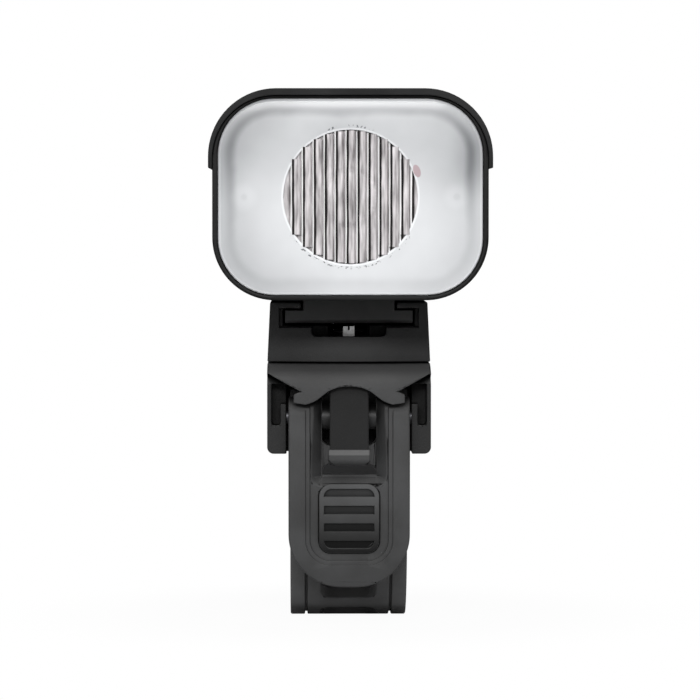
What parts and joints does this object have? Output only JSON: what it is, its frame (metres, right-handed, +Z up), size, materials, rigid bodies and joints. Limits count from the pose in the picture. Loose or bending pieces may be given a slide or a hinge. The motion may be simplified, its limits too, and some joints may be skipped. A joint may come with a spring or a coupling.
{
  "type": "bicycle headlight with strap mount",
  "caption": "Bicycle headlight with a hooded frosted lens, on a swivelling rail cradle held to the handlebar by a rubber strap and lever.",
  "frame": {"origin": "on the handlebar's axis, in the light's middle plane", "axes": "+Z up, the beam points along -Y, the handlebar runs along X"},
  "size_m": [0.0462, 0.1017, 0.0904],
  "materials": {
    "textured_plastic": "fine spark-eroded texture",
    "soft_rubber": "smooth matte",
    "lever_rubber": "smooth satin",
    "grip_rubber": "smooth satin",
    "brass": "turned",
    "white_nylon": "smooth",
    "steel": "zinc plated",
    "dark_steel": "black oxide",
    "spring_steel": "rolled",
    "rail_plastic": "smooth",
    "shell_plastic": "satin moulded",
    "bezel_plastic": "gloss",
    "frosted_lens": "frosted, with a clear fluted field",
    "white_plastic": "smooth white",
    "clear_optic": "polished",
    "lamp_phosphor": "phosphor",
    "board_white": "white mask on metal core",
    "sink_aluminium": "cast",
    "cell_sleeve": "shrink sleeve",
    "board_green": "solder mask",
    "switch_black": "moulded"
  },
  "bodies": {
    "base": {"base_clamp": "textured_plastic", "saddle_pad": "soft_rubber", "swivel_insert": "brass", "swivel_washer": "white_nylon", "swivel_screw": "steel", "lever_pin": "dark_steel", "strap": "soft_rubber", "strap_pin": "dark_steel"},
    "strap_lever": {"lever": "lever_rubber", "lever_grip": "grip_rubber", "strap_hook": "rail_plastic"},
    "lever_catch": {"catch_tongue": "textured_plastic"},
    "turret": {"cradle": "textured_plastic", "detent_spring": "spring_steel"},
    "rail_release": {"release_tab": "textured_plastic"},
    "headlight": {"rail_foot": "rail_plastic", "rail_screws": "steel", "lower_shell": "shell_plastic", "hood": "shell_plastic", "front_bezel": "bezel_plastic", "front_lens": "frosted_lens", "lens_seal": "soft_rubber", "reflector_tray": "white_plastic", "collimator": "clear_optic", "led_chip": "lamp_phosphor", "led_board": "board_white", "heat_sink": "sink_aluminium", "battery_cells": "cell_sleeve", "battery_holder": "rail_plastic", "driver_board": "board_green", "button_switch": "switch_black", "charging_socket": "steel", "rear_seal": "soft_rubber", "rear_cap": "shell_plastic", "cap_screws": "steel"},
    "button": {"power_button": "grip_rubber"},
    "port_flap": {"port_cover": "soft_rubber"}
  },
  "joints": [
    {"name": "turret_swivel", "type": "hinge", "parent": "base", "child": "turret", "pos_m": [0, 0, 0.0261], "axis": [0, 0, 1], "range_deg": [-15, 15]},
    {"name": "rail_slide", "type": "slide", "parent": "turret", "child": "headlight", "axis": [0, -1, 0], "range_m": [0, 0.04], "deforming": ["detent_spring"]},
    {"name": "release_press", "type": "slide", "parent": "turret", "child": "rail_release", "axis": [0, 0, -1], "range_m": [0, 0.001], "stiffness_N_per_m": 1500},
    {"name": "lever_hinge", "type": "hinge", "parent": "base", "child": "strap_lever", "pos_m": [0, -0.0221, 0.017], "axis": [-1, 0, 0], "range_deg": [0, 60]},
    {"name": "catch_flex", "type": "hinge", "parent": "base", "child": "lever_catch", "pos_m": [0, -0.02535, 0.0232], "axis": [-1, 0, 0], "range_deg": [0, 4], "stiffness_Nm_per_rad": 2},
    {"name": "button_press", "type": "slide", "parent": "headlight", "child": "button", "axis": [0, 0, -1], "range_m": [0, 0.0006], "stiffness_N_per_m": 2500},
    {"name": "flap_hinge", "type": "hinge", "parent": "headlight", "child": "port_flap", "pos_m": [0, 0.05335, 0.0579], "axis": [-1, 0, 0], "range_deg": [0, 100]}
  ]
}
